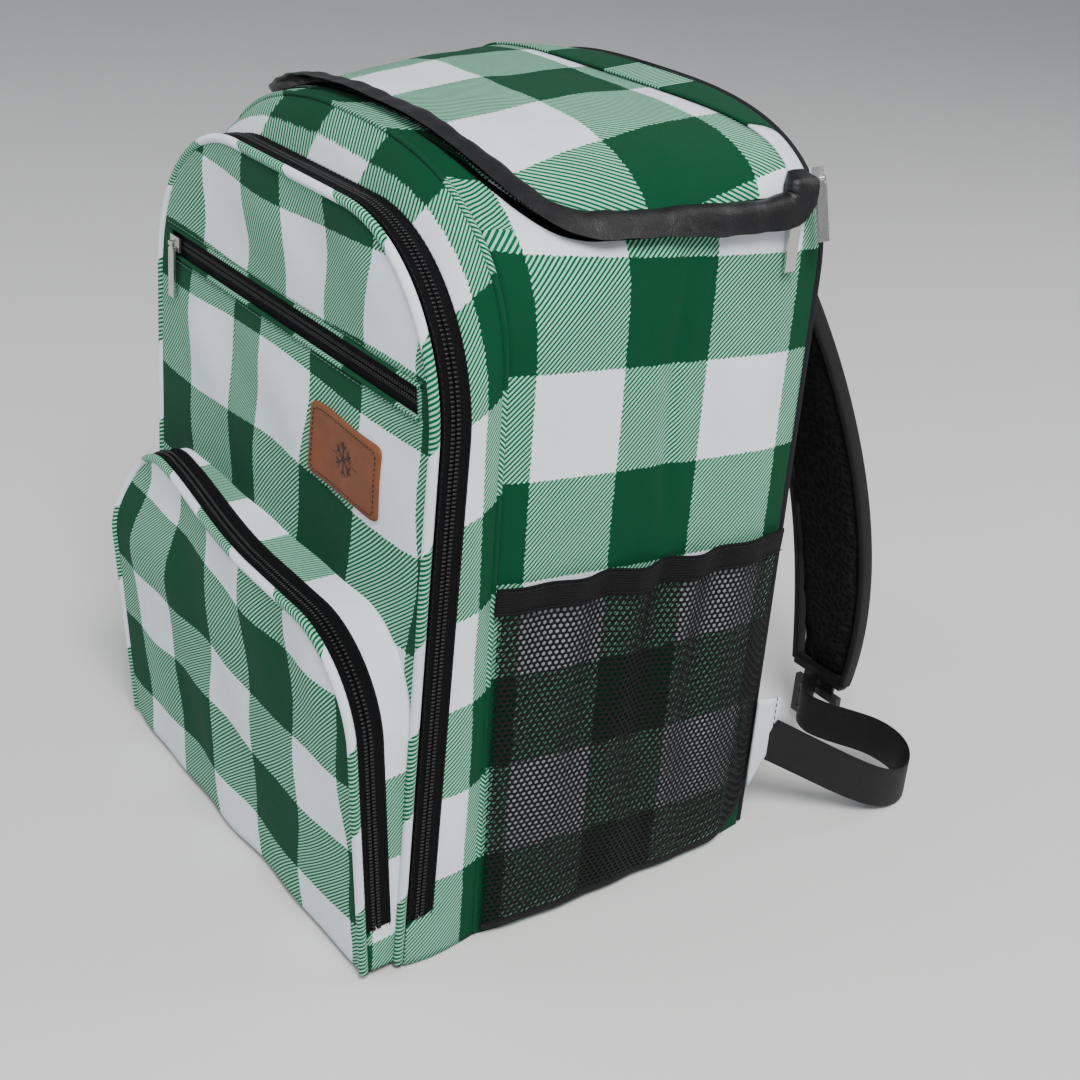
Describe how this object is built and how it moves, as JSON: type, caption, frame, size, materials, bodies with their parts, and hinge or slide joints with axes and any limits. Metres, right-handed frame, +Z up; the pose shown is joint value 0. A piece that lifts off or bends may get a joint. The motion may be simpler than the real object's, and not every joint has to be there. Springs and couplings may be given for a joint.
{
  "type": "insulated cooler bag",
  "caption": "Soft insulated cooler worn as a backpack, with a zipped hinged lid, drop-down front compartment, lower front pocket, side mesh pockets and shoulder straps.",
  "frame": {"origin": "middle of the main compartment's base, on the surface it stands on", "axes": "+Z up, -Y out of the front door, +X to the bag's right as seen from the front"},
  "size_m": [0.3112, 0.3962, 0.403],
  "materials": {
    "plaid_fabric": "woven check in green and white",
    "plaid_piping": "woven check wrapped over cord",
    "black_padding": "matte spacer mesh",
    "black_binding": "ribbed tape",
    "foam": "closed-cell foam",
    "board": "matte sheet",
    "liner_film": "satin silver film",
    "zip_tape": "woven tape with nylon coil",
    "mesh": "open knitted mesh",
    "elastic": "ribbed elastic",
    "webbing": "ribbed webbing",
    "black_plastic": "moulded acetal",
    "white_fabric": "plain weave",
    "guard_fabric": "coated, satin",
    "pouch_fabric": "thin lining",
    "patch_leather": "embossed",
    "zip_metal": "nickel plated"
  },
  "bodies": {
    "bag": {"side_panel_right": "plaid_fabric", "side_panel_left": "plaid_fabric", "front_wall": "plaid_fabric", "back_wall": "black_padding", "base_panel": "plaid_fabric", "top_front_strip": "plaid_fabric", "top_back_strip": "plaid_fabric", "foam_side_right": "foam", "foam_side_left": "foam", "foam_front": "foam", "foam_back": "foam", "foam_base": "foam", "base_board": "board", "liner": "liner_film", "zip_lid_lower": "zip_tape", "back_pad": "black_padding", "back_piping": "black_binding", "front_gusset": "plaid_fabric", "hinge_strip": "black_binding", "zip_door_inner": "zip_tape", "mesh_pocket_right": "mesh", "mesh_pocket_left": "mesh", "elastic_right": "elastic", "elastic_left": "elastic", "strap_pad_right": "black_padding", "strap_pad_left": "black_padding", "webbing_right": "webbing", "webbing_left": "webbing", "ladder_lock_right": "black_plastic", "ladder_lock_left": "black_plastic", "corner_tab_right": "white_fabric", "corner_tab_left": "white_fabric", "strap_yoke": "black_padding", "haul_handle": "webbing", "rear_slider": "zip_metal"},
    "lid": {"lid_shell": "plaid_fabric", "lid_foam": "foam", "lid_liner": "liner_film", "lid_guard": "guard_fabric", "zip_lid_upper": "zip_tape"},
    "lid_slider": {"lid_slider": "zip_metal"},
    "lid_puller": {"lid_puller": "zip_metal"},
    "rear_puller": {"rear_puller": "zip_metal"},
    "door": {"door_panel": "plaid_fabric", "door_piping": "plaid_piping", "zip_door_outer": "zip_tape", "slit_zip": "zip_tape", "slit_pouch": "pouch_fabric", "patch": "patch_leather", "pocket_gusset": "plaid_fabric", "zip_pocket_inner": "zip_tape"},
    "slit_slider": {"slit_slider": "zip_metal"},
    "slit_puller": {"slit_puller": "zip_metal"},
    "door_slider": {"door_slider": "zip_metal"},
    "door_puller": {"door_puller": "zip_metal"},
    "flap": {"flap_panel": "plaid_fabric", "flap_piping": "plaid_piping", "zip_pocket_outer": "zip_tape"},
    "pocket_slider": {"pocket_slider": "zip_metal"},
    "pocket_puller": {"pocket_puller": "zip_metal"}
  },
  "joints": [
    {"name": "lid_hinge", "type": "hinge", "parent": "bag", "child": "lid", "pos_m": [0, 0.066, 0.396], "axis": [-1, 0, 0], "range_deg": [0, 105]},
    {"name": "lid_slider_slide", "type": "slide", "parent": "bag", "child": "lid_slider", "axis": [0, -1, 0], "range_m": [0, 0.06]},
    {"name": "lid_puller_swing", "type": "hinge", "parent": "lid_slider", "child": "lid_puller", "pos_m": [0.1433, 0.064, 0.363], "axis": [-1, 0, 0], "range_deg": [-8, 80]},
    {"name": "rear_puller_swing", "type": "hinge", "parent": "bag", "child": "rear_puller", "pos_m": [0.14159, 0.078, 0.37623], "axis": [0, -1, 0], "range_deg": [0, 120]},
    {"name": "door_hinge", "type": "hinge", "parent": "bag", "child": "door", "pos_m": [0, -0.13685, 0.004], "axis": [1, 0, 0], "range_deg": [0, 72]},
    {"name": "slit_slider_slide", "type": "slide", "parent": "door", "child": "slit_slider", "axis": [1, 0, 0], "range_m": [0, 0.215]},
    {"name": "slit_puller_swing", "type": "hinge", "parent": "slit_slider", "child": "slit_puller", "pos_m": [-0.118, -0.12907, 0.29691], "axis": [-1, 0, 0], "range_deg": [0, 150]},
    {"name": "door_slider_slide", "type": "slide", "parent": "bag", "child": "door_slider", "axis": [0, 0.0366, 0.9993], "range_m": [-0.06, 0.16]},
    {"name": "door_puller_swing", "type": "hinge", "parent": "door_slider", "child": "door_puller", "pos_m": [-0.14375, -0.12316, 0.10456], "axis": [0, 0.9993, -0.0366], "range_deg": [0, 150]},
    {"name": "flap_hinge", "type": "hinge", "parent": "door", "child": "flap", "pos_m": [0, -0.15523, 0.00465], "axis": [1, 0, 0], "range_deg": [0, 70]},
    {"name": "pocket_slider_slide", "type": "slide", "parent": "door", "child": "pocket_slider", "axis": [0, -0.0593, 0.9982], "range_m": [-0.015, 0.075]},
    {"name": "pocket_puller_swing", "type": "hinge", "parent": "pocket_slider", "child": "pocket_puller", "pos_m": [-0.14175, -0.15009, 0.05304], "axis": [0, 0.9982, 0.0593], "range_deg": [0, 150]}
  ]
}
